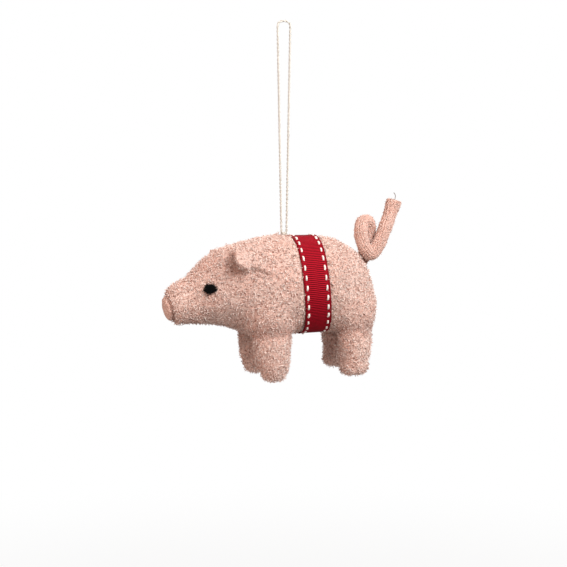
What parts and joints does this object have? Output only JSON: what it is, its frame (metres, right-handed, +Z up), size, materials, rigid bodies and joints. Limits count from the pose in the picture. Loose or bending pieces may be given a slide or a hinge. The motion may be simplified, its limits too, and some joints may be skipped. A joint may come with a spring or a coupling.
{
  "type": "hanging pig ornament",
  "caption": "Stuffed wool pig that hangs from a twine loop, with stubby legs, cupped ears, felted eyes, a rolled curly tail and a stitched ribbon belt.",
  "frame": {"origin": "inside of the top of the twine loop, where a hook bears", "axes": "+Z up along the hanging line, -X towards the snout, -Y towards the pig's left side"},
  "size_m": [0.1389, 0.0548, 0.1978],
  "materials": {
    "heather_wool": "matte heathered wool",
    "fibre_fill": "loose fibre",
    "black_felt": "matte needle felt",
    "crimson_grosgrain": "ribbed, low sheen",
    "white_thread": "cotton thread",
    "cotton_twine": "two-ply twisted cotton",
    "sewing_thread": "spun thread"
  },
  "bodies": {
    "loop": {"twine_loop": "cotton_twine"},
    "knot": {"loop_knot": "cotton_twine"},
    "wraps": {"anchor_wraps": "sewing_thread"},
    "pig": {"body_skin": "heather_wool", "head_skin": "heather_wool", "snout_disc": "heather_wool", "body_fill": "fibre_fill", "head_fill": "fibre_fill", "left_eye": "black_felt", "right_eye": "black_felt", "ribbon_band": "crimson_grosgrain", "front_stitch_row": "white_thread", "rear_stitch_row": "white_thread", "front_left_leg_skin": "heather_wool", "front_left_leg_fill": "fibre_fill", "front_right_leg_skin": "heather_wool", "front_right_leg_fill": "fibre_fill", "rear_left_leg_skin": "heather_wool", "rear_left_leg_fill": "fibre_fill", "rear_right_leg_skin": "heather_wool", "rear_right_leg_fill": "fibre_fill"},
    "tail": {"tail_roll": "heather_wool", "tail_thread": "sewing_thread"},
    "left_ear": {"left_ear": "heather_wool"},
    "right_ear": {"right_ear": "heather_wool"}
  },
  "joints": [
    {"name": "pig_turn", "type": "hinge", "parent": "loop", "child": "knot", "pos_m": [0, 0, -0.117], "axis": [0, 0, 1], "range_deg": [-180, 180]},
    {"name": "pig_sway", "type": "hinge", "parent": "knot", "child": "wraps", "pos_m": [0, 0, -0.117], "axis": [1, 0, 0], "range_deg": [-30, 30]},
    {"name": "pig_tip", "type": "hinge", "parent": "wraps", "child": "pig", "pos_m": [0, 0, -0.117], "axis": [0, 1, 0], "range_deg": [-30, 30]},
    {"name": "tail_bend", "type": "hinge", "parent": "pig", "child": "tail", "pos_m": [0.05026, 0.00404, -0.13278], "axis": [0, 1, 0], "range_deg": [0, 35], "stiffness_Nm_per_rad": 0.01},
    {"name": "left_ear_flap", "type": "hinge", "parent": "pig", "child": "left_ear", "pos_m": [-0.02785, -0.01827, -0.12861], "axis": [0.3746, -0.6323, -0.6781], "range_deg": [-35, 10], "stiffness_Nm_per_rad": 0.002},
    {"name": "right_ear_flap", "type": "hinge", "parent": "pig", "child": "right_ear", "pos_m": [-0.02785, 0.01827, -0.12861], "axis": [-0.3746, -0.6323, 0.6781], "range_deg": [-35, 10], "stiffness_Nm_per_rad": 0.002}
  ]
}
